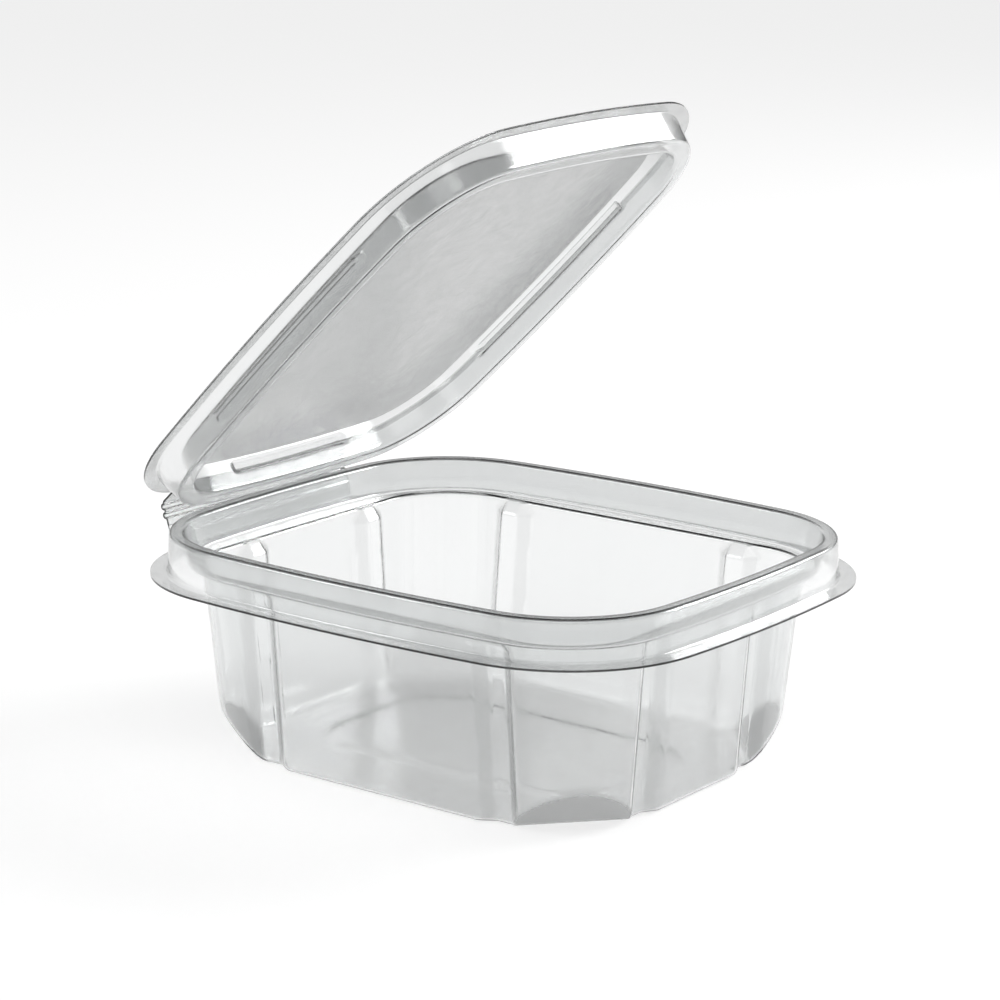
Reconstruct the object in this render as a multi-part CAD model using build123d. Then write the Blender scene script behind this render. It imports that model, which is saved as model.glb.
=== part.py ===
"""Clear hinged food pack, formed from one sheet: a tray, a lid standing open, and a film hinge between them.

Millimetres.  The origin is the middle of the underside the tray rests on, Z is up, X runs along the hinge.
The front edge, where the pack is opened, faces -Y and the hinge is on the +Y side.
"""
import os
from math import cos, degrees, radians, sin, tan

from build123d import *

# The sheet, and the angle the lid stands open at, counted from closed.
sheet = 0.5
lid_open = 44.5
lid_gap = 0.3

# How far a flat runs on under the piece that it joins, and a cutter past the face that it cuts.
lap = 2.0

# The family of outlines: every edge of the rim and of the lid is this one moved in by an amount.
flange_length = 146.0
flange_width = 128.2
corner_radius = 35.0
side_bow = 5.4

# Tray rim: the ledge's height, the rim and the flange counted from it, and widths counted in from the edge.
ledge_height = 44.7
rim_rise = 7.5
flange_drop = 2.0
flange_reach = 4.0
rim_lean = 0.4
rim_land = 3.5
seat_lean = 1.4
rim_round = 1.0
bend_round = 0.7

# Tray pocket: width and length between the walls at the ledge and at the table, and the corner columns.
pocket_top = (99.6, 116.6)
pocket_foot = (91.2, 110.0)
column_top_radius = 18.5
column_foot_radius = 17.5
foot_round = 1.8

# Ribs beside the corner columns: how far along the walls they stand, and their section.
rib_long_at = 33.0
rib_short_at = 21.3
rib_width = 10.4
rib_face = 3.4
rib_depth = 2.4
rib_lead = 3.2
rib_fade = 0.2

# Flat at the foot of each corner column: where it meets the table, and how it rises outwards.
facet_turn = 48.0
facet_at = 55.4
facet_rise = 9.5
facet_reach = 9.4

# Raised middle of the floor.
floor_panel = (46.0, 79.0)
floor_corner = 14.0
floor_rise = 0.7
floor_slope = 35.0

# Lid: its edge, the plug that drops inside the rim, and the flat panel in the middle.
lid_inset = 5.5
plug_gap = 0.5
plug_land = 4.3
plug_inner_lean = 0.9

# Nesting bars in the plug's inner wall.
bar_drop = 1.4
bar_height = 2.2
bar_depth = 0.8
bar_long = 60.0
bar_short = 42.0

# Film hinge: the line it folds on, its width, the film, and the two beads on the lid's half.
fold_y = 73.6
fold_rise = 2.4
hinge_width = 65.5
film = 0.45
fold_radius = 0.55
fold_gap = 0.45
strip_start = 70.6
strip_lean = 0.4
bead_radius = 0.85
bead_spacing = 2.1
bead_lead = 0.45

# Values that follow from the ones above.
half_width = flange_width / 2
half_length = flange_length / 2
long_radius = (half_length**2 + side_bow**2) / (2 * side_bow)
short_radius = (half_width**2 + side_bow**2) / (2 * side_bow)
rim_height = ledge_height + rim_rise
flange_height = ledge_height - flange_drop
fold_z = ledge_height + fold_rise
rim_outer = flange_reach + rim_lean
rim_inner = rim_outer + rim_land
seat_inset = rim_inner + seat_lean
lid_top = rim_height + lid_gap + sheet
plug_floor = ledge_height + lid_gap + sheet
plug_top_inset = rim_inner + plug_gap + sheet
plug_foot_inset = seat_inset + plug_gap + sheet
plug_inner_inset = plug_foot_inset + plug_land - sheet
panel_inset = plug_inner_inset + plug_inner_lean
strip_base = flange_height - film
up = Vector(0, 0, 1)


def outline(inset):
    """Oblong with bowed sides and round corners, moved in by an amount."""
    long_disc = Circle(long_radius - inset)
    short_disc = Circle(short_radius - inset)
    long_at = half_width - long_radius
    short_at = half_length - short_radius
    area = Pos(long_at, 0) * long_disc & Pos(-long_at, 0) * long_disc
    area = area & (Pos(0, short_at) * short_disc)
    area = area & (Pos(0, -short_at) * short_disc)
    return fillet(area.vertices(), corner_radius - inset)


def section(points, rounds, thickness):
    """Thin section along a run of points with rounded bends, its thickness to the right of the run."""
    run = Polyline(*points)
    for at, radius in rounds:
        corner = run.vertices().sort_by_distance(Vector(*points[at]))[0]
        run = fillet([corner], radius)
    return make_face(offset(run, amount=thickness, side=Side.RIGHT))


def turned(face, centre, start, angle):
    """Section drawn as inset and height, stood at a start point and turned about an upright line."""
    inward = (centre - start).normalized()
    plane = Plane(origin=start, x_dir=inward, z_dir=inward.cross(up))
    return revolve(plane * face, Axis(centre, up), angle)


def ring(face):
    """Section carried once round the outline, arc by arc."""
    pieces = []
    for edge in outline(0).edges():
        centre = edge.arc_center
        start = edge @ 0
        finish = edge @ 1
        if (start - centre).cross(finish - centre).Z < 0:
            start = finish
        pieces.append(turned(face, centre, start, degrees(edge.length / edge.radius)))
    return pieces[0].fuse(*pieces[1:])


def side_pair(face, length, radius, half, quarter):
    """Section carried along the middle of two facing sides."""
    angle = degrees(length / radius)
    pieces = []
    for turn in (quarter, quarter + 180):
        away = Vector(cos(radians(turn)), sin(radians(turn)), 0)
        first = Vector(cos(radians(turn - angle / 2)), sin(radians(turn - angle / 2)), 0)
        centre = away * (half - radius)
        pieces.append(turned(face, centre, centre + first * radius, angle))
    return pieces


def all_corners(body):
    """One corner's body and its three mirror images."""
    beside = mirror(body, Plane.YZ)
    return [body, beside, mirror(body, Plane.XZ), mirror(beside, Plane.XZ)]


def wall_point(height, along, long_wall):
    """Where the pocket's wall stands at a height, at a distance along it, in the first quarter."""
    part = height / ledge_height
    if long_wall:
        return Vector((pocket_foot[0] + (pocket_top[0] - pocket_foot[0]) * part) / 2, along, height)
    return Vector(along, (pocket_foot[1] + (pocket_top[1] - pocket_foot[1]) * part) / 2, height)


def rib(along, long_wall, grow):
    """Notch of one rib: full depth up the wall, run out to nothing at the ledge."""
    along_wall = Vector(0, 1, 0) if long_wall else Vector(-1, 0, 0)
    slope = (rib_width - rib_face) / 2 / rib_depth
    stations = []
    for height, depth in ((-lap, rib_depth), (ledge_height - rib_lead, rib_depth), (ledge_height, -rib_fade)):
        deep = depth + grow
        face = rib_face / 2 + grow
        mouth = face + slope * (deep + lap)
        corners = [(-mouth, -lap), (-face, deep), (face, deep), (mouth, -lap)]
        shape = make_face(Polyline(*corners, close=True))
        plane = Plane(origin=wall_point(height, along, long_wall), x_dir=along_wall, z_dir=up)
        stations.append(plane * shape)
    return loft(stations, ruled=True)


def pocket(inset):
    """Solid the size of the pocket, its walls moved in and its floor moved up by the same amount."""
    foot_size = [side - 2 * inset for side in pocket_foot]
    top_size = [side - 2 * inset for side in pocket_top]
    foot = RectangleRounded(*foot_size, column_foot_radius - inset)
    top = RectangleRounded(*top_size, column_top_radius - inset)
    body = loft([foot, Pos(0, 0, ledge_height) * top], ruled=True)
    if inset > 0:
        body = split(body, bisect_by=Plane.XY.offset(inset), keep=Keep.TOP)
    body = fillet(body.edges().group_by(Axis.Z)[0], foot_round - inset)
    notches = all_corners(rib(rib_long_at, True, inset))
    notches += all_corners(rib(rib_short_at, False, inset))
    body = body.cut(*notches)
    for mirror_x in (-1, 1):
        for mirror_y in (-1, 1):
            away = Vector(mirror_x * cos(radians(facet_turn)), mirror_y * sin(radians(facet_turn)), 0)
            normal = (away * facet_rise - up * facet_reach).normalized()
            plane = Plane(origin=away * facet_at - normal * inset, z_dir=normal)
            body = split(body, bisect_by=plane, keep=Keep.BOTTOM)
    slope = floor_rise * tan(radians(floor_slope))
    low = [side + 2 * inset for side in floor_panel]
    high = [side - 2 * slope for side in low]
    panel_foot = Pos(0, 0, inset) * RectangleRounded(*low, floor_corner + inset)
    panel_top = Pos(0, 0, inset + floor_rise) * RectangleRounded(*high, floor_corner + inset - slope)
    return body - loft([panel_foot, panel_top], ruled=True)


def bar_section(inset):
    """Section of a nesting bar standing out of the plug's inner wall, or the hollow behind it."""
    wall = panel_inset + inset
    low = lid_top - bar_drop - bar_height + inset
    high = lid_top - bar_drop - inset
    face = wall - plug_inner_lean - bar_depth
    corners = [(wall, low), (face, low + inset), (face, high - inset), (wall, high)]
    return make_face(Polyline(*corners, close=True))


def lid_strip():
    """Section of the lid's half of the hinge: out from the edge, then down over two beads to the fold."""
    start = Vector(strip_start, lid_top)
    reach = Vector(fold_y + film / 2, fold_z) - start
    along = reach.normalized()
    out = Vector(-along.Y, along.X)
    finish = reach.length - fold_radius - fold_gap
    first = bead_lead + bead_radius
    run = [Line(Vector(half_length - lid_inset - lap, lid_top), start)]
    at = start
    for middle in (first, first + bead_spacing):
        before = start + along * (middle - bead_radius)
        after = start + along * (middle + bead_radius)
        run.append(Line(at, before))
        run.append(ThreePointArc(before, start + along * middle + out * bead_radius, after))
        at = after
    run.append(Line(at, start + along * finish))
    return make_face(offset(Wire(run), amount=film, side=Side.RIGHT))


def build_tray():
    """Flange, rim, ledge and pocket, with the tray's half of the hinge."""
    rim_section = section(
        [(0, flange_height), (flange_reach, flange_height), (rim_outer, rim_height), (rim_inner, rim_height),
         (seat_inset, ledge_height), (seat_inset + lap, ledge_height)],
        [(1, bend_round), (2, rim_round), (3, rim_round), (4, bend_round)], sheet)
    ledge = extrude(Pos(0, 0, ledge_height) * outline(seat_inset + lap / 2), -sheet)
    body = ring(rim_section) + ledge + pocket(0)
    body = body - pocket(sheet)
    strip = section(
        [(fold_y, fold_z), (fold_y - strip_lean, strip_base), (half_length - flange_reach, strip_base)],
        [(1, bend_round)], film)
    body = body + extrude(Plane.YZ * strip, hinge_width / 2, both=True)
    fold = Plane.YZ * (Pos(fold_y, fold_z) * Circle(fold_radius))
    return body + extrude(fold, hinge_width / 2, both=True)


def build_lid():
    """Edge, plug and panel with the lid's half of the hinge, modelled closed."""
    plug_section = section(
        [(lid_inset, lid_top), (plug_top_inset, lid_top), (plug_foot_inset, plug_floor),
         (plug_inner_inset, plug_floor), (panel_inset, lid_top), (panel_inset + lap, lid_top)],
        [(1, bend_round), (2, bend_round), (3, bend_round), (4, bend_round)], sheet)
    panel = extrude(Pos(0, 0, lid_top) * outline(panel_inset + lap / 2), -sheet)
    body = ring(plug_section) + panel
    long_sides = (long_radius, half_width, 0)
    short_sides = (short_radius, half_length, 90)
    for length, sides in ((bar_long, long_sides), (bar_short, short_sides)):
        body = body.fuse(*side_pair(bar_section(0), length, *sides))
        body = body.cut(*side_pair(bar_section(sheet), length - 2 * sheet, *sides))
    body = body + extrude(Plane.YZ * lid_strip(), hinge_width / 2, both=True)
    return body.rotate(Axis((0, fold_y, fold_z), (-1, 0, 0)), lid_open)


tray = build_tray()
lid = build_lid()
os.makedirs("parts", exist_ok=True)
export_step(tray, "parts/tray.step")
export_step(lid, "parts/lid.step")
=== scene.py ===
"""Looks of the clear hinged food pack: a formed tray, its lid standing open, and the film fold between them.

Sizes are millimetres, as in the part's source, and are turned to metres where a mesh is made. The table and
the lamps are set in metres.
"""
from math import atan2, cos, hypot, pi, radians, sin, sqrt, tan

import bpy
import numpy as np
from mathutils import Matrix, Vector


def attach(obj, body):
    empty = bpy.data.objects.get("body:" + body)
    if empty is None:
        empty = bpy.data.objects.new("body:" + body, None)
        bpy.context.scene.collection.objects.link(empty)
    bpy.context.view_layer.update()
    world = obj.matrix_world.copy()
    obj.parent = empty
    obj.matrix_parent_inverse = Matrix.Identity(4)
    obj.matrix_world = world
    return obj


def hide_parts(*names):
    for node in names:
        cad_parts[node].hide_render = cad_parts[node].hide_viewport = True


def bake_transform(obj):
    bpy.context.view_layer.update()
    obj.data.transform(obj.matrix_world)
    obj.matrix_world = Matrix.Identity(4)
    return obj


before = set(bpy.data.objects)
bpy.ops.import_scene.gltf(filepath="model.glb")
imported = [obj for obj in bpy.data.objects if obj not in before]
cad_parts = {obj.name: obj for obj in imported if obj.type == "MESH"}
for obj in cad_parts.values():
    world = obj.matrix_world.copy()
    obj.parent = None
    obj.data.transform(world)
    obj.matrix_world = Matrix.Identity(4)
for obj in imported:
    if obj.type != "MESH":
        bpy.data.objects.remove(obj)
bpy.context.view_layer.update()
MM = 0.001

# The sheet, and the angle the lid stands open at, counted from closed.
sheet = 0.5
lid_open = 44.5
lid_gap = 0.3

# The family of outlines: every edge of the rim and of the lid is this one moved in by an amount.
flange_length = 146.0
flange_width = 128.2
corner_radius = 35.0
side_bow = 5.4

# Tray rim: the ledge's height, the rim and the flange counted from it, and widths counted in from the edge.
ledge_height = 44.7
rim_rise = 7.5
flange_drop = 2.0
flange_reach = 4.0
rim_lean = 0.4
rim_land = 3.5
seat_lean = 1.4
rim_round = 1.0
bend_round = 0.7
ledge_start = 0.8

# Tray pocket: width and length over the walls at the ledge and at the table, and the corner columns.
pocket_top = (99.6, 116.6)
pocket_foot = (91.2, 110.0)
column_top_radius = 18.5
column_foot_radius = 17.5
foot_bend = 1.6
ledge_bend = 0.9

# Ribs beside the corner columns: how far along the walls they stand, and their section.
rib_long_at = 33.0
rib_short_at = 21.3
rib_width = 10.4
rib_face = 3.4
rib_depth = 2.4
rib_lead = 3.2
rib_blend = 0.5

# Points of the tray's sheet: how many stand in each stretch of a quarter, how far the close stretch at a rib
# runs past it towards the wall's middle and towards the column, how far below a rib's lead the rows stay
# close, and the rows of the raised floor as shares of its edge.
quarter_counts = (14, 26, 30, 26, 9)
rib_inner_margin = 2.0
rib_outer_margin = 1.5
rib_settle = 1.0
floor_rings = (0.85, 0.55, 0.25)

# Flat at the foot of each corner column: where it meets the table, and how it rises outwards.
facet_turn = 48.0
facet_at = 55.4
facet_rise = 9.5
facet_reach = 9.4
facet_blend = 0.5

# Raised middle of the floor.
floor_panel = (46.0, 79.0)
floor_corner = 14.0
floor_rise = 0.7
floor_run = 4.0

# Lid: its edge, the plug that drops inside the rim, and the flat panel in the middle. The plug's inner wall
# leans 0.7 more than in the part's source, which turns it to the light.
lid_inset = 5.5
plug_gap = 0.5
plug_land = 4.3
plug_inner_lean = 1.6
panel_start = 1.0
panel_rings = (0.97, 0.88, 0.7, 0.45, 0.2)

# Nesting bars in the plug's inner wall.
bar_drop = 1.4
bar_height = 2.2
bar_depth = 0.8
bar_long = 60.0
bar_short = 42.0
bar_blend = 0.9

# Satin faces: how rough the fullest satin is, and the share of it that each face has. The same share paints
# the face a darker grey, which is painted shade: for the shaded table under the corner flats and the floor,
# the dim room the panel mirrors, and the light and shade on the ribs' flanks.
satin_roughness = 0.42
panel_satin_and_shade = 0.5
lid_edge_satin_and_shade = 0.35
plug_satin_and_shade = 0.18
strip_satin_and_shade = 0.3
rim_satin_and_shade = 0.15
floor_satin_and_shade = 0.16
facet_satin_and_shade = 0.65
rib_satin_and_shade = 0.35
wall_satin_and_shade = 0.12

# How far the floor's satin and painted shade reach above the floor, how they fade out, and where a corner
# flat's satin and painted shade start.
floor_satin_and_shade_reach = 0.4
floor_satin_and_shade_fade = 0.3
facet_satin_and_shade_start = 0.1

# Film hinge: the line it folds on, its width and how near its ends a point is moved on to them, the film and
# how far short of the line each sheet stops, the strips, and the two beads on the lid's half.
fold_y = 73.6
fold_rise = 2.4
hinge_width = 65.5
hinge_slack = 0.3
film = 0.45
film_crease = 0.3
film_hair = 0.02
tray_stop = 0.6
lid_stop = 1.0
strip_start = 70.6
strip_flat = 1.8
strip_lean = 0.4
strip_room = 0.2
bead_radius = 0.85
bead_spacing = 2.1
bead_lead = 0.45
bead_lead_bend = 0.7

# Values that follow from the ones above.
half_width = flange_width / 2
half_length = flange_length / 2
long_radius = (half_length**2 + side_bow**2) / (2 * side_bow)
short_radius = (half_width**2 + side_bow**2) / (2 * side_bow)
rim_height = ledge_height + rim_rise
flange_height = ledge_height - flange_drop
fold_z = ledge_height + fold_rise
rim_outer = flange_reach + rim_lean
rim_inner = rim_outer + rim_land
seat_inset = rim_inner + seat_lean
lid_top = rim_height + lid_gap + sheet
foot_height = sheet + foot_bend
plug_top_inset = rim_inner + plug_gap + sheet
plug_foot_inset = seat_inset + plug_gap + sheet
plug_inner_inset = plug_foot_inset + plug_land - sheet
panel_inset = plug_inner_inset + plug_inner_lean


# Nodes: one function adds any node, with its settings and what its sockets hold or are linked from.
def add_node(tree, kind, sockets=(), **settings):
    node = tree.nodes.new(kind)
    for name, value in settings.items():
        setattr(node, name, value)
    for name, value in dict(sockets).items():
        if isinstance(value, bpy.types.NodeSocket):
            tree.links.new(value, node.inputs[name])
        else:
            node.inputs[name].default_value = value
    return node


def colour(code):
    """Linear colour of an sRGB hex value."""
    parts = [int(code[at:at + 2], 16) / 255 for at in (1, 3, 5)]
    return [part / 12.92 if part <= 0.04045 else ((part + 0.055) / 1.055)**2.4 for part in parts] + [1]


def clear_pet():
    """Clear PET sheet, drawn down over a mould: the eye sees bright and dark lines at every bend, a faint
    grey where it looks through many layers, and reflections that waver where the sheet was stretched."""
    material = bpy.data.materials.new("clear_pet_thermoformed")
    material.use_nodes = True
    tree = material.node_tree
    shader = tree.nodes["Principled BSDF"]
    place = add_node(tree, "ShaderNodeTexCoord").outputs["Object"]
    # Faces that lie on the mould's blasted steel come out satin and even. They are also painted a little
    # greyer, which is painted shade for the shaded table and dim room that such faces show.
    satin_and_shade = add_node(tree, "ShaderNodeAttribute", attribute_name="satin_and_shade").outputs["Fac"]
    # Elsewhere the draw leaves waves about 9 mm long and a few hundredths of a millimetre deep.
    waves = add_node(tree, "ShaderNodeTexNoise", {"Vector": place, "Scale": 1 / (9 * MM), "Detail": 1.5})
    depth = add_node(tree, "ShaderNodeMapRange", {"Value": satin_and_shade, "To Min": 0.25, "To Max": 0})
    wavy = add_node(tree, "ShaderNodeBump",
                    {"Height": waves.outputs["Fac"], "Strength": depth.outputs["Result"],
                     "Distance": 0.05 * MM})
    # Handling scuffs it in patches about 3 mm across.
    scuffs = add_node(tree, "ShaderNodeTexNoise", {"Vector": place, "Scale": 1 / (3 * MM), "Detail": 4})
    haze = add_node(tree, "ShaderNodeMapRange",
                    {"Value": scuffs.outputs["Fac"], "From Min": 0.35, "From Max": 0.75,
                     "To Min": 0.02, "To Max": 0.09})
    rough = add_node(tree, "ShaderNodeMix",
                     {"Factor": satin_and_shade, "A": haze.outputs["Result"], "B": satin_roughness})
    # Painted shade: by the satin share, the colour goes from the sheet's clear tint to a darker grey.
    tint_and_painted_shade = add_node(tree, "ShaderNodeMix",
                    {"Factor": satin_and_shade, "A": colour("#F2F3F3"), "B": colour("#D8D9D9")},
                    data_type="RGBA")
    tree.links.new(tint_and_painted_shade.outputs["Result"], shader.inputs["Base Color"])
    shader.inputs["Transmission Weight"].default_value = 1
    shader.inputs["IOR"].default_value = 1.57
    tree.links.new(rough.outputs["Result"], shader.inputs["Roughness"])
    tree.links.new(wavy.outputs["Normal"], shader.inputs["Normal"])
    return material


def lit_table():
    """Opal acrylic shooting table, sanded matt and lit from below: even, pale, and with hardly a shadow."""
    material = bpy.data.materials.new("opal_acrylic_sanded")
    material.use_nodes = True
    tree = material.node_tree
    shader = tree.nodes["Principled BSDF"]
    place = add_node(tree, "ShaderNodeTexCoord").outputs["Object"]
    # Sanding is far finer than this: it is drawn as patches 40 mm wide.
    mottle = add_node(tree, "ShaderNodeTexNoise", {"Vector": place, "Scale": 1 / (40 * MM), "Detail": 3})
    rough = add_node(tree, "ShaderNodeMapRange",
                     {"Value": mottle.outputs["Fac"], "To Min": 0.7, "To Max": 0.8})
    shader.inputs["Base Color"].default_value = colour("#B0B0B0")
    shader.inputs["Emission Color"].default_value = colour("#FFFFFF")
    shader.inputs["Emission Strength"].default_value = 0.74
    shader.inputs["Specular IOR Level"].default_value = 0.2
    tree.links.new(rough.outputs["Result"], shader.inputs["Roughness"])
    return material


# Shapes of lines.
def smooth_max(one, other, blend):
    """The larger of two, with the crease between them rounded over a distance."""
    near = np.maximum(blend - np.abs(one - other), 0) / blend
    return np.maximum(one, other) + near * near * blend / 4


def ease(value):
    """0 below 0, 1 above 1, and a soft step between."""
    part = np.clip(value, 0, 1)
    return part * part * (3 - 2 * part)


def rounded_run(points, rounds, spacing=1.2, steps=6):
    """Run of straight stretches with rounded bends, as points no further apart than a spacing."""
    points = [np.array(point, float) for point in points]
    marks = [points[0]]
    for at in range(1, len(points) - 1):
        back = points[at - 1] - points[at]
        on = points[at + 1] - points[at]
        back = back / np.linalg.norm(back)
        on = on / np.linalg.norm(on)
        turn = pi - np.arccos(np.clip(back @ on, -1, 1))
        reach = rounds[at - 1] * tan(turn / 2)
        middle = points[at] + (back + on) / np.linalg.norm(back + on) * rounds[at - 1] / cos(turn / 2)
        first = points[at] + back * reach - middle
        side = np.array([-first[1], first[0]])
        side = side * np.sign(side @ -back)
        marks.append(middle + first)
        for step in range(1, steps + 1):
            swing = turn * step / steps
            marks.append(middle + first * cos(swing) + side * sin(swing))
    marks.append(points[-1])
    run = [marks[0]]
    for mark in marks[1:]:
        count = max(1, round(np.linalg.norm(mark - run[-1]) / spacing))
        start = run[-1]
        run += [start + (mark - start) * step / count for step in range(1, count + 1)]
    return np.array(run)


def bend(before, corner, after, steps=5):
    """Rows of a soft bend between two rows, drawn to the row of sharp corners."""
    rows = []
    for part in np.linspace(0, 1, steps + 1):
        rows.append(before * (1 - part)**2 + corner * 2 * part * (1 - part) + after * part**2)
    return rows


# Outlines: each quarter is drawn by shares from 0, on +X, to 1, on +Y.
long_at = half_width - long_radius
short_at = half_length - short_radius
apart = hypot(long_at, short_at)
long_reach = long_radius - corner_radius
along = (long_reach**2 - (short_radius - corner_radius)**2 + apart**2) / (2 * apart)
across = sqrt(long_reach**2 - along**2)
corner_x = long_at - along * long_at / apart - across * short_at / apart
corner_y = along * short_at / apart - across * long_at / apart
corner_start = atan2(corner_y, corner_x - long_at)
corner_end = atan2(corner_y - short_at, corner_x)
edge_runs = np.cumsum([
    0, corner_start * (long_radius - seat_inset),
    (corner_end - corner_start) * (corner_radius - seat_inset),
    (pi / 2 - corner_end) * (short_radius - seat_inset)])
edge_shares = edge_runs / edge_runs[-1]
middle_radius = (column_top_radius + column_foot_radius) / 2
pocket_runs = np.cumsum([
    0, (pocket_top[1] + pocket_foot[1]) / 4 - middle_radius, middle_radius * pi / 2,
    (pocket_top[0] + pocket_foot[0]) / 4 - middle_radius])
pocket_shares = pocket_runs / pocket_runs[-1]


def edge(inset, share):
    """First quarter of the flange's outline, moved in."""
    turn = np.interp(share, edge_shares, [0, corner_start, corner_end, pi / 2])
    on_long = share <= edge_shares[1]
    on_short = share > edge_shares[2]
    radius = np.where(on_long, long_radius, np.where(on_short, short_radius, corner_radius)) - inset
    x = np.where(on_long, long_at, np.where(on_short, 0, corner_x)) + radius * np.cos(turn)
    y = np.where(on_long, 0, np.where(on_short, short_at, corner_y)) + radius * np.sin(turn)
    return np.stack([x, y], 1)


def oblong(half_x, half_y, radius, share):
    """First quarter of an oblong with round corners."""
    first, turn, last = [
        np.clip((share - low) / (high - low), 0, 1) for low, high in zip(pocket_shares, pocket_shares[1:])]
    x = (half_x - radius) * (1 - last) + radius * np.cos(turn * pi / 2)
    y = (half_y - radius) * first + radius * np.sin(turn * pi / 2)
    return np.stack([x, y], 1)


def whole(quarter):
    """The four quarters of a row, from the first and its mirror images, turning left from +X."""
    flip_x = np.ones(quarter.shape[1])
    flip_x[0] = -1
    flip_y = np.ones(quarter.shape[1])
    flip_y[1] = -1
    second = (quarter * flip_x)[::-1]
    fourth = (quarter * flip_y)[::-1]
    return np.concatenate([quarter[:-1], second[:-1], (quarter * flip_x * flip_y)[:-1], fourth[:-1]])


def lifted(flat, height):
    """Row of plan points at a height."""
    return np.column_stack([flat, np.full(len(flat), height)])


# Geometry Nodes: a section carried along a line, which makes the rim, the plug and the fold.
def carry_tree():
    tree = bpy.data.node_groups.new("carry_section", "GeometryNodeTree")
    tree.interface.new_socket("Line", in_out="INPUT", socket_type="NodeSocketGeometry")
    tree.interface.new_socket("Section", in_out="INPUT", socket_type="NodeSocketObject")
    tree.interface.new_socket("Height", in_out="INPUT", socket_type="NodeSocketFloat")
    tree.interface.new_socket("Closed Ends", in_out="INPUT", socket_type="NodeSocketBool")
    tree.interface.new_socket("Finish", in_out="INPUT", socket_type="NodeSocketMaterial")
    tree.interface.new_socket("Sheet", in_out="OUTPUT", socket_type="NodeSocketGeometry")
    given = add_node(tree, "NodeGroupInput").outputs
    drawn = add_node(tree, "GeometryNodeObjectInfo", {"Object": given["Section"]})
    place = add_node(tree, "ShaderNodeCombineXYZ", {"Y": given["Height"]})
    moved = add_node(tree, "GeometryNodeTransform",
                     {"Geometry": drawn.outputs["Geometry"], "Translation": place.outputs["Vector"]})
    # A carried section faces away from the middle and downwards, so it is turned to face in and up.
    turned = add_node(tree, "GeometryNodeTransform",
                      {"Geometry": moved.outputs["Geometry"], "Rotation": (0, 0, pi)})
    upright = add_node(tree, "GeometryNodeSetCurveNormal", {"Curve": given["Line"]}, mode="Z_UP")
    carried = add_node(tree, "GeometryNodeCurveToMesh",
                       {"Curve": upright.outputs["Curve"], "Profile Curve": turned.outputs["Geometry"],
                        "Fill Caps": given["Closed Ends"]})
    real = add_node(tree, "GeometryNodeRealizeInstances", {"Geometry": carried.outputs["Mesh"]})
    done = add_node(tree, "GeometryNodeSetMaterial",
                    {"Geometry": real.outputs["Geometry"], "Material": given["Finish"]})
    add_node(tree, "NodeGroupOutput", {"Sheet": done.outputs["Geometry"]})
    return tree


def line_object(name, points, closed):
    """Bare line through points."""
    line = bpy.data.curves.new(name, "CURVE")
    line.dimensions = "3D"
    spline = line.splines.new("POLY")
    spline.points.add(len(points) - 1)
    spline.points.foreach_set("co", np.column_stack([points, np.ones(len(points))]).ravel())
    spline.use_cyclic_u = closed
    made = bpy.data.objects.new(name, line)
    bpy.context.scene.collection.objects.link(made)
    return made


def carried_section(name, line, run, height, ring, closed_section=False):
    """Plain mesh of a section, drawn as insets and rises, carried along a line at a height."""
    host = line_object(name + "_line", line * MM, ring)
    drawn = line_object(name + "_section", lifted(run, 0) * MM, closed_section)
    work = host.modifiers.new(name, "NODES")
    work.node_group = carry
    given = {item.name: item.identifier for item in carry.interface.items_tree if item.in_out == "INPUT"}
    work[given["Section"]] = drawn
    work[given["Height"]] = height * MM
    work[given["Closed Ends"]] = closed_section
    work[given["Finish"]] = pet
    view = bpy.context.evaluated_depsgraph_get()
    made = bpy.data.meshes.new_from_object(host.evaluated_get(view))
    host.modifiers.clear()
    for spare in (host, drawn):
        bpy.data.objects.remove(spare)
    made.name = name
    return made


def rows_of(mesh, stations):
    """Rows of a carried section, in millimetres: one row for each point of the section."""
    points = np.zeros(len(mesh.vertices) * 3)
    mesh.vertices.foreach_get("co", points)
    return list(points.reshape(stations, -1, 3).transpose(1, 0, 2) / MM)


def piece(name, mesh):
    """Finished piece from a mesh: smooth, with the cut edges left sharp."""
    mesh.polygons.foreach_set("use_smooth", np.ones(len(mesh.polygons), bool))
    mesh.set_sharp_from_angle(angle=radians(50))
    made = bpy.data.objects.new(name, mesh)
    bpy.context.scene.collection.objects.link(made)
    return made


def sheet_faces(rings, count, strip_at, strips):
    """Faces between closed rows, from the last of them to a middle point, and between the hinge's rows."""
    here = np.arange(count)
    on = (here + 1) % count
    faces = []
    for low in range(0, (rings - 1) * count, count):
        high = low + count
        faces += np.column_stack([low + here, low + on, high + on, high + here]).tolist()
    last = (rings - 1) * count
    middle = rings * count
    faces += np.column_stack([last + here, last + on, np.full(count, middle)]).tolist()
    inner = np.array(strip_at)
    for row in range(strips):
        outer = middle + 1 + row * len(strip_at) + np.arange(len(strip_at))
        faces += np.column_stack([outer[:-1], outer[1:], inner[1:], inner[:-1]]).tolist()
        inner = outer
    return faces


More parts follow.
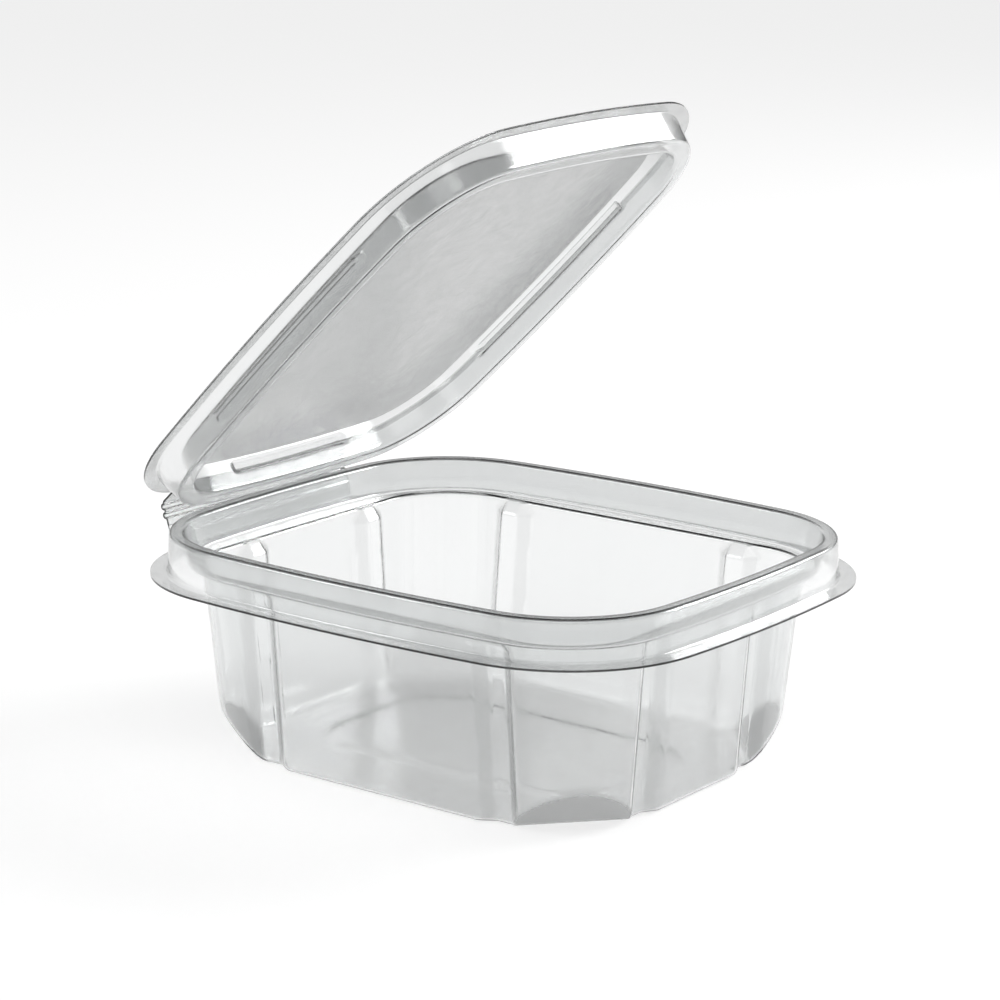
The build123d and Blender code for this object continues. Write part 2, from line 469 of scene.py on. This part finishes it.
def sheet_piece(name, rows, satin_and_shade, strip_at, strip_rows):
    """Piece of formed sheet: closed rows from the edge in to a middle point, and the hinge's rows on a side.
    They are the sheet's upper face, and the sheet is thickened below them."""
    middle = np.array([[0, rows[-1][:, 1].mean(), rows[-1][:, 2].mean()]])
    points = np.concatenate(rows + [middle] + strip_rows)
    mesh = bpy.data.meshes.new(name)
    mesh.from_pydata(points * MM, [], sheet_faces(len(rows), len(rows[0]), strip_at, len(strip_rows)))
    mesh.materials.append(pet)
    satin_and_shade = np.concatenate(satin_and_shade + [satin_and_shade[-1][:1], np.full(len(strip_rows) * len(strip_at), strip_satin_and_shade)])
    # Each point's satin share, which also sets how much painted grey shade the material gives it.
    mesh.attributes.new("satin_and_shade", "FLOAT", "POINT").data.foreach_set("value", satin_and_shade)
    work = bpy.data.objects.new(name + "_work", mesh)
    bpy.context.scene.collection.objects.link(work)
    thick = work.modifiers.new("sheet", "SOLIDIFY")
    thick.thickness = sheet * MM
    thick.offset = -1
    thick.use_even_offset = True
    view = bpy.context.evaluated_depsgraph_get()
    solid = bpy.data.meshes.new_from_object(work.evaluated_get(view))
    bpy.data.objects.remove(work)
    solid.name = name
    # Where the sheet turns sharply its underside would pass the table.
    places = np.zeros(len(solid.vertices) * 3)
    solid.vertices.foreach_get("co", places)
    places[2::3] = np.maximum(places[2::3], 0)
    solid.vertices.foreach_set("co", places)
    return piece(name, solid)


def hinge_side(row):
    """Places in a row that the hinge joins, the outermost ones moved on to the hinge's ends."""
    found = np.flatnonzero((row[:, 1] > 0) & (np.abs(row[:, 0]) < hinge_width / 2 + hinge_slack))
    row[found[0], 0] = hinge_width / 2
    row[found[-1], 0] = -hinge_width / 2
    return found


def strip(row, found, run):
    """Hinge rows that follow a run of y and height, straight across the pack."""
    rows = []
    for y, z in run:
        rows.append(np.column_stack([row[found, 0], np.full(len(found), y), np.full(len(found), z)]))
    return rows


# Tray.
def pocket_half(height):
    """Half the pocket's width and half its length, over the walls, at a height."""
    part = height / ledge_height
    return [(foot + (top - foot) * part) / 2 for foot, top in zip(pocket_foot, pocket_top)]


def past_facet(x, y, height):
    """How far points of the first quarter lie past the inner face of its corner's flat."""
    away = x * cos(radians(facet_turn)) + y * sin(radians(facet_turn))
    return ((away - facet_at) * facet_rise - height * facet_reach) / hypot(facet_rise, facet_reach) + sheet


def pocket_wall(height, share):
    """Inner face of the pocket's wall at a height, with its ribs and corner flats, in the first quarter."""
    half_x, half_y = pocket_half(height)
    radius = column_foot_radius + (column_top_radius - column_foot_radius) * height / ledge_height
    wall = oblong(half_x - sheet, half_y - sheet, radius - sheet, share)
    depth = rib_depth * min((ledge_height - height) / rib_lead, 1)
    slope = (rib_width - rib_face) / 2 / rib_depth
    ribs = (((half_x, rib_long_at), (-1, 0)), ((rib_short_at, half_y), (0, -1)))
    # The ribs have run out where the wall meets the ledge.
    for root, inward in ribs if depth > 0 else ():
        inward = np.array(inward)
        beside = np.abs((wall - root) @ inward[::-1])
        deep = (wall - root) @ inward
        notch = depth + sheet - np.maximum(beside - rib_face / 2 - sheet, 0) / slope
        wall = wall + inward * (smooth_max(deep, notch, rib_blend) - deep)[:, None]
    proud = smooth_max(past_facet(*wall.T, height), 0, facet_blend)
    cut = proud * hypot(facet_rise, facet_reach) / facet_rise
    return wall - np.outer(cut, [cos(radians(facet_turn)), sin(radians(facet_turn))])


def pocket_row(height, share):
    """Whole row of the pocket's wall at a height."""
    return lifted(whole(pocket_wall(height, share)), height)


def floor_row(inset, height, share):
    """Whole row of the raised floor's outline, moved in, at a height."""
    half_x = floor_panel[0] / 2 + sheet - inset
    half_y = floor_panel[1] / 2 + sheet - inset
    return lifted(whole(oblong(half_x, half_y, floor_corner + sheet - inset, share)), height)


def tray_satin_and_shade(points):
    """How satin the tray's sheet is, and how much painted grey shade it gets: the corner flats most, then the
    ribs' flanks, floor, rim and walls.
    """
    x, y = np.abs(points[:, :2]).T
    height = points[:, 2]
    half_x, half_y = pocket_half(height)
    from_long = half_x - sheet - x
    from_short = half_y - sheet - y
    on_facet = ease(1 + past_facet(x, y, height) / facet_blend) * (height > sheet + facet_satin_and_shade_start)
    on_floor = ease((sheet + floor_rise + floor_satin_and_shade_reach - height) / floor_satin_and_shade_fade)
    on_rib = np.zeros(len(points))
    for deep, beside in ((from_long, y - rib_long_at), (from_short, x - rib_short_at)):
        flank = ease(deep / rib_blend) * ease((rib_depth - deep) / rib_blend)
        on_rib += flank * (np.abs(beside) < rib_width / 2)
    on_wall = 1 - ease(np.minimum(from_long, from_short) / rib_blend)
    on_wall = on_wall * ease((ledge_height - height) / ledge_bend)
    on_rim = ease((height - ledge_height) / bend_round)
    return np.maximum.reduce(
        [facet_satin_and_shade * on_facet, floor_satin_and_shade * on_floor, rib_satin_and_shade * on_rib, wall_satin_and_shade * on_wall,
         rim_satin_and_shade * on_rim])


def tray_share():
    """Shares round a quarter of the tray, closest across the ribs and round the column."""
    inner = rib_width / 2 + rib_inner_margin
    outer = rib_width / 2 + rib_outer_margin
    marks = [0, rib_long_at - inner, rib_long_at + outer]
    marks += [pocket_runs[-1] - from_end for from_end in (rib_short_at + outer, rib_short_at - inner, 0)]
    stretches = []
    for low, high, count in zip(marks, marks[1:], quarter_counts):
        stretches.append(np.linspace(low, high, count, endpoint=False))
    return np.append(np.concatenate(stretches), marks[-1]) / marks[-1]


def rim_rows(share):
    """Flange, rim and the start of the ledge: one section carried round the outline."""
    line = lifted(whole(edge(0, share)), 0)
    run = rounded_run(
        [(0, -flange_drop), (flange_reach, -flange_drop), (rim_outer, rim_rise), (rim_inner, rim_rise),
         (seat_inset, 0), (seat_inset + ledge_start, 0)],
        [bend_round, rim_round, rim_round, bend_round], spacing=1.6)
    return rows_of(carried_section("rim", line, run, ledge_height, True), len(line))


def wall_rows(ledge, share):
    """The ledge from its start in to the pocket's mouth, the turn down there, and the walls."""
    mouth = pocket_row(ledge_height, share)
    inward = mouth - ledge
    lip = mouth - inward / np.linalg.norm(inward, axis=1)[:, None] * ledge_bend
    under = ledge_height - ledge_bend
    rows = [(ledge + lip) / 2]
    rows += bend(lip, mouth, pocket_row(under, share))
    # Rows stand closer where the ribs run out and at the corner flats.
    rib_top = ledge_height - rib_lead - rib_settle
    facet_top = facet_rise + facet_blend
    heights = np.concatenate([
        np.linspace(under, rib_top, 6, endpoint=False)[1:],
        np.linspace(rib_top, facet_top, 11, endpoint=False),
        np.linspace(facet_top, foot_height, 12, endpoint=False)])
    return rows + [pocket_row(height, share) for height in heights]


def floor_rows(share):
    """The bend at the walls' foot, the floor, and the step up to its raised middle."""
    step_foot = floor_row(-floor_run / 2, sheet, share)
    corner = pocket_row(sheet, share)
    inward = step_foot - corner
    start = corner + inward / np.linalg.norm(inward, axis=1)[:, None] * foot_bend
    rows = bend(pocket_row(foot_height, share), corner, start)
    rows += [start + (step_foot - start) * part for part in (0.2, 0.5, 0.8)]
    for part in np.linspace(0, 1, 9):
        rows.append(floor_row(floor_run * (part - 0.4), sheet + floor_rise * ease(part), share))
    return rows + [rows[-1] * [part, part, 1] for part in floor_rings]


def tray_piece():
    """Flange, rim, ledge, pocket and floor in one sheet, with the tray's half of the hinge.
    Gives the place of the sheet's end at the fold, as y and height."""
    share = tray_share()
    rows = rim_rows(share)
    rows += wall_rows(rows[-1], share)
    rows += floor_rows(share)
    found = hinge_side(rows[0])
    strip_bend = fold_y - strip_lean - film
    run = rounded_run(
        [(half_length - flange_reach, flange_height), (strip_bend, flange_height),
         (fold_y - film, fold_z - tray_stop)],
        [bend_round], spacing=0.8)
    run = run[run[:, 0] > strip_bend - bend_round - strip_room]
    rows[0][found, 1] = run[0, 0]
    satin_and_shade = [tray_satin_and_shade(row) for row in rows]
    made = sheet_piece("tray_sheet", rows, satin_and_shade, found, strip(rows[0], found, run[1:]))
    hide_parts("tray")
    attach(made, "tray")
    return run[-1] + [sheet / 2, 0]


# Lid.
def opened(points):
    """Points of the closed lid, turned open about the fold."""
    turn = radians(lid_open)
    y = points[..., 1] - fold_y
    z = points[..., 2] - fold_z
    return np.stack([
        points[..., 0], fold_y + y * cos(turn) + z * sin(turn), fold_z + z * cos(turn) - y * sin(turn)], -1)


def beaded_run():
    """Run of the lid's half of the hinge: out from the lid's edge, then down over two beads to the fold."""
    start = np.array([strip_start, lid_top])
    reach = np.array([fold_y + film / 2, fold_z]) - start
    length = np.linalg.norm(reach)
    on = reach / length
    out = np.array([-on[1], on[0]])
    run = rounded_run([start - [strip_flat, 0], start, start + on * length], [bend_round], spacing=0.6)
    # The bend takes up a share of the lead to the first bead.
    run = [point for point in run if (point - start) @ on < bead_lead * bead_lead_bend]
    first = bead_lead + bead_radius
    for middle in (first, first + bead_spacing):
        for turn in np.linspace(0, pi, 13):
            run.append(start + on * (middle - bead_radius * cos(turn)) + out * bead_radius * sin(turn))
    run.append(start + on * (length - lid_stop))
    return np.array(run)


def lid_satin_and_shade(inset, rise):
    """How satin a row of the lid is, and how much painted grey shade it gets: the panel most, then its edge,
    the plug's outer wall and the rest.
    """
    on_plug = rise < -bend_round / 2
    if inset < plug_foot_inset:
        return plug_satin_and_shade if on_plug else lid_edge_satin_and_shade
    return wall_satin_and_shade if on_plug else panel_satin_and_shade


def raise_bars(rows, run, line, share):
    """Bars that stand out of the plug's inner wall towards the rim, along the middle of each side."""
    outward = line - lifted(whole(edge(lid_inset, share)), 0)
    outward = outward / np.linalg.norm(outward, axis=1)[:, None]
    corner_share = (edge_shares[1] + edge_shares[2]) / 2
    on_long = np.abs(whole(np.column_stack([share, share]))[:, 0]) < corner_share
    reach = np.where(on_long, bar_long / 2 - np.abs(line[:, 1]), bar_short / 2 - np.abs(line[:, 0]))
    bar_middle = -bar_drop - bar_height / 2
    face = plug_inner_inset - bar_depth
    for row, (inset, rise) in zip(rows, run):
        if inset > plug_inner_inset:
            edge_near = bar_height / 2 - abs(rise - bar_middle)
            proud = (inset - face) * ease(edge_near / bar_blend + 0.5)
            row += outward * (proud * ease(reach / bar_blend))[:, None]


def lid_piece():
    """Edge, plug and panel in one sheet, with the lid's half of the hinge, turned open.
    Gives the place of the sheet's end at the fold, as y and height of the closed lid."""
    share = np.linspace(0, 1, 106)
    line = lifted(whole(edge(0, share)), 0)
    plug_run = rounded_run(
        [(lid_inset, 0), (plug_top_inset, 0), (plug_foot_inset, -rim_rise),
         (plug_inner_inset, -rim_rise), (panel_inset, 0), (panel_inset + panel_start, 0)],
        [bend_round] * 4, spacing=0.35, steps=5)
    rows = rows_of(carried_section("plug", line, plug_run, lid_top, True), len(line))
    raise_bars(rows, plug_run, line, share)
    panel_edge = rows[-1]
    rows += [panel_edge * [part, part, 1] for part in panel_rings]
    shares = [lid_satin_and_shade(inset, rise) for inset, rise in plug_run] + [panel_satin_and_shade] * len(panel_rings)
    satin_and_shade = [np.full(len(line), value) for value in shares]

    # The strip starts square from the lid's bowed edge.
    found = hinge_side(rows[0])
    run = beaded_run()
    half_way = rows[0][found]
    half_way[:, 1] = (half_way[:, 1] + run[0, 0]) / 2
    strips = [half_way] + strip(rows[0], found, run)
    rows = [opened(row) for row in rows]
    strips = [opened(row) for row in strips]
    made = sheet_piece("lid_sheet", rows, satin_and_shade, found, strips)
    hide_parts("lid")
    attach(made, "lid")
    on = (run[-1] - run[-2]) / np.linalg.norm(run[-1] - run[-2])
    return run[-1] - np.array([-on[1], on[0]]) * sheet / 2


def fold_piece(tray_end, lid_end):
    """Film at the fold, thinnest on the line it folds on, between the middles of the two sheets' ends."""
    # A hair stays open at each end, so that no two faces lie in one plane.
    start = tray_end + [0, film_hair]
    finish = opened(np.array([0, *lid_end]))[1:] - [0, film_hair]
    near, far = [], []
    for part in np.linspace(0, 1, 13):
        middle = start + (finish - start) * part
        half = (film_crease + (film - film_crease) * abs(2 * part - 1)**1.5) / 2
        near.append((half_length - middle[0] + half, middle[1] - fold_z))
        far.append((half_length - middle[0] - half, middle[1] - fold_z))
    across = np.linspace(hinge_width / 2, -hinge_width / 2, 25)
    line = np.column_stack([across, np.full(25, half_length), np.zeros(25)])
    mesh = carried_section("fold_film", line, np.array(near + far[::-1]), fold_z, False, closed_section=True)
    made = piece("fold_film", mesh)
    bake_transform(made)


pet = clear_pet()
carry = carry_tree()
fold_piece(tray_piece(), lid_piece())


# Table, light and camera.
def soft_box(name, place, aim, size, power):
    """Soft box: a lamp of one size, at a place, facing a point."""
    lamp = bpy.data.lights.new(name, "AREA")
    lamp.shape = "RECTANGLE"
    lamp.size, lamp.size_y = size
    lamp.energy = power
    made = bpy.data.objects.new(name, lamp)
    made.location = place
    made.rotation_euler = (Vector(aim) - Vector(place)).to_track_quat("-Z", "Y").to_euler()
    bpy.context.scene.collection.objects.link(made)


# The table's top lies a hair under the pack.
table_reach = 6.0
table_top = -0.0001
table_mesh = bpy.data.meshes.new("table")
table_mesh.from_pydata(
    [(-table_reach, -table_reach, table_top), (table_reach, -table_reach, table_top),
     (table_reach, table_reach, table_top), (-table_reach, table_reach, table_top)], [], [(0, 1, 2, 3)])
table_mesh.materials.append(lit_table())
table = bpy.data.objects.new("table", table_mesh)
bpy.context.scene.collection.objects.link(table)

# A soft light over the camera's shoulder, a dim wide panel behind, and two boxes that the sheet mirrors:
# the plug's walls the right one, and the tops of the far ribs the left one.
soft_box("key_light", (-0.6, -0.45, 1.4), (-0.1, -0.08, 0), (1.3, 1.3), 6.5)
soft_box("back_panel", (1.9, 1.45, 0.75), (0, 0, 0.1), (2.4, 0.9), 2)
soft_box("right_box", (0.89, -0.51, 0.59), (0, 0, 0.09), (0.65, 0.42), 9.5)
soft_box("left_panel", (-0.85, 0.82, 0.8), (0, 0, 0.05), (0.5, 0.5), 4)
world = bpy.data.worlds.new("studio")
world.use_nodes = True
world.node_tree.nodes["Background"].inputs["Color"].default_value = colour("#646464")
world.node_tree.nodes["Background"].inputs["Strength"].default_value = 1.0
bpy.context.scene.world = world
bpy.context.scene.view_settings.view_transform = "Standard"

# Camera, fitted to the photograph: where it stands round the pack, its height, tilt, distance and lens.
camera_turn = radians(-53.383)
camera_rise = radians(13.901)
camera_tilt = radians(0.549)
camera_far = 748.9
camera_aim = 36.5
camera_side = -0.70
camera_up = 22.07
camera_lens = 116.93
back = Vector((sin(camera_turn) * cos(camera_rise), -cos(camera_turn) * cos(camera_rise), sin(camera_rise)))
right = Vector((cos(camera_turn), sin(camera_turn), 0))
up = back.cross(right)
tilt = Matrix.Rotation(camera_tilt, 3, back)
right = tilt @ right
up = tilt @ up
stand = (Vector((0, 0, camera_aim)) + back * camera_far + right * camera_side + up * camera_up) * MM
lens = bpy.data.cameras.new("camera")
lens.lens = camera_lens
lens.sensor_width = 36
camera = bpy.data.objects.new("camera", lens)
camera.matrix_world = Matrix((right, up, back)).transposed().to_4x4()
camera.location = stand
bpy.context.scene.collection.objects.link(camera)
bpy.context.scene.camera = camera
